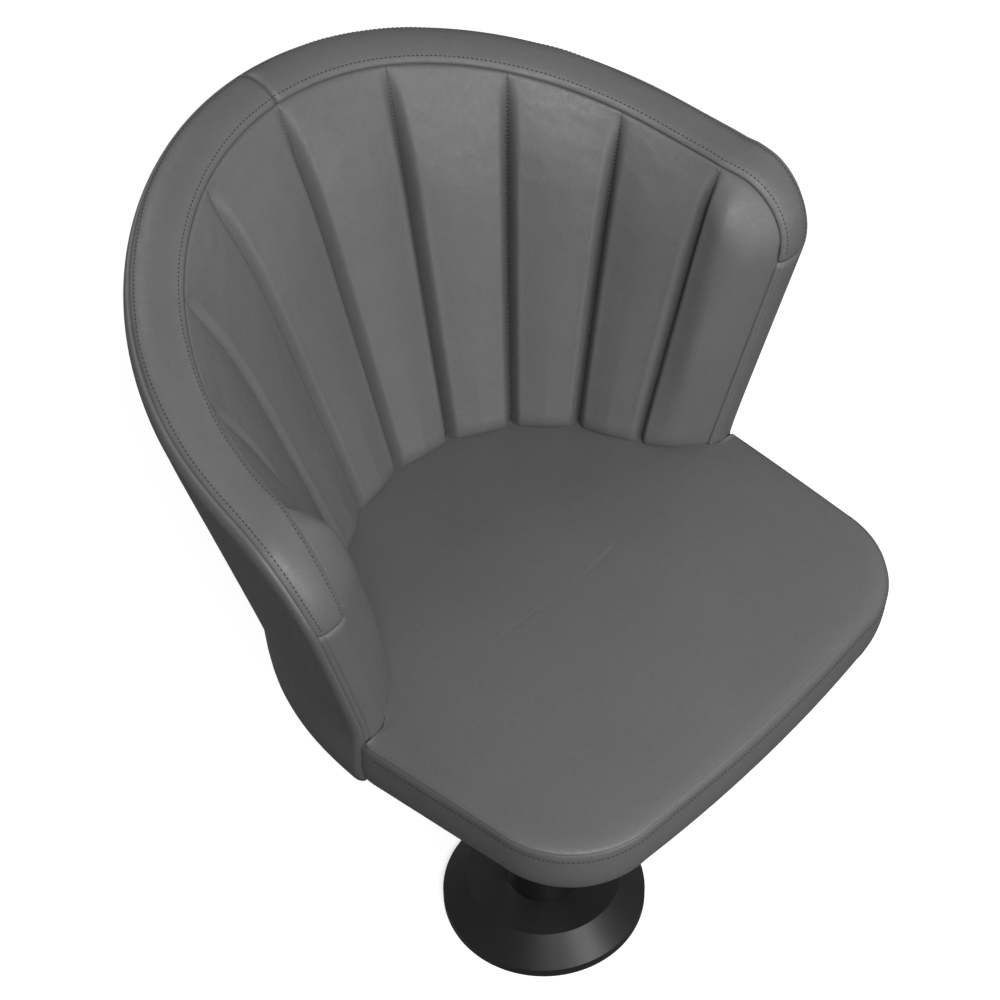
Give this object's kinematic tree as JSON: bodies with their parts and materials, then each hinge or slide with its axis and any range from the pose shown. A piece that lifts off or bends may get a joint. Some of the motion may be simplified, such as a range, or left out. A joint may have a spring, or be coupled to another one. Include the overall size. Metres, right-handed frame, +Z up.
{
  "type": "pedestal swivel armchair",
  "caption": "Upholstered tub armchair with a channelled back, on a floor-fixed round pedestal on which the seat swivels freely.",
  "frame": {"origin": "centre of the floor flange's underside, on the floor and on the swivel axis", "axes": "+Z up along the swivel axis; the sitter faces -Y and the middle of the back is at +Y"},
  "size_m": [0.6204, 0.5843, 0.8566],
  "materials": {
    "leather": "satin grained upholstery leather, cool dark grey",
    "foam": "open upholstery foam",
    "plywood": "birch plywood, raw",
    "lining": "black non-woven lining",
    "black_steel": "satin black powder coat",
    "black_cover": "satin black",
    "bush_plastic": "natural nylon",
    "bright_steel": "ground",
    "zinc_steel": "zinc plated",
    "spring_steel": "blackened spring steel"
  },
  "bodies": {
    "pedestal": {"floor_flange": "black_steel", "cone_cover": "black_cover", "column_tube": "black_steel", "upper_bush": "bush_plastic", "lower_bush": "bush_plastic"},
    "seat": {"thrust_washer": "zinc_steel", "spindle": "bright_steel", "end_washer": "zinc_steel", "spindle_circlip": "spring_steel", "seat_plate": "black_steel", "plate_bolts": "zinc_steel", "plate_washers": "zinc_steel", "tee_nuts": "zinc_steel", "seat_board": "plywood", "dust_cover": "lining", "seat_foam": "foam", "seat_top_panel": "leather", "seat_border": "leather", "back_shell": "plywood", "shell_screws": "zinc_steel", "back_foam": "foam", "outer_cover_left": "leather", "outer_cover_right": "leather", "rim_band_left": "leather", "rim_band_right": "leather", "arm_strip_left": "leather", "arm_strip_right": "leather", "channel_pad_left_1": "leather", "channel_pad_right_1": "leather", "channel_pad_left_2": "leather", "channel_pad_right_2": "leather", "channel_pad_left_3": "leather", "channel_pad_right_3": "leather", "channel_pad_left_4": "leather", "channel_pad_right_4": "leather", "channel_pad_left_5": "leather", "channel_pad_right_5": "leather"}
  },
  "joints": [
    {"name": "seat_swivel", "type": "hinge", "parent": "pedestal", "child": "seat", "pos_m": [0, 0, 0.4], "axis": [0, 0, 1], "continuous": true}
  ]
}
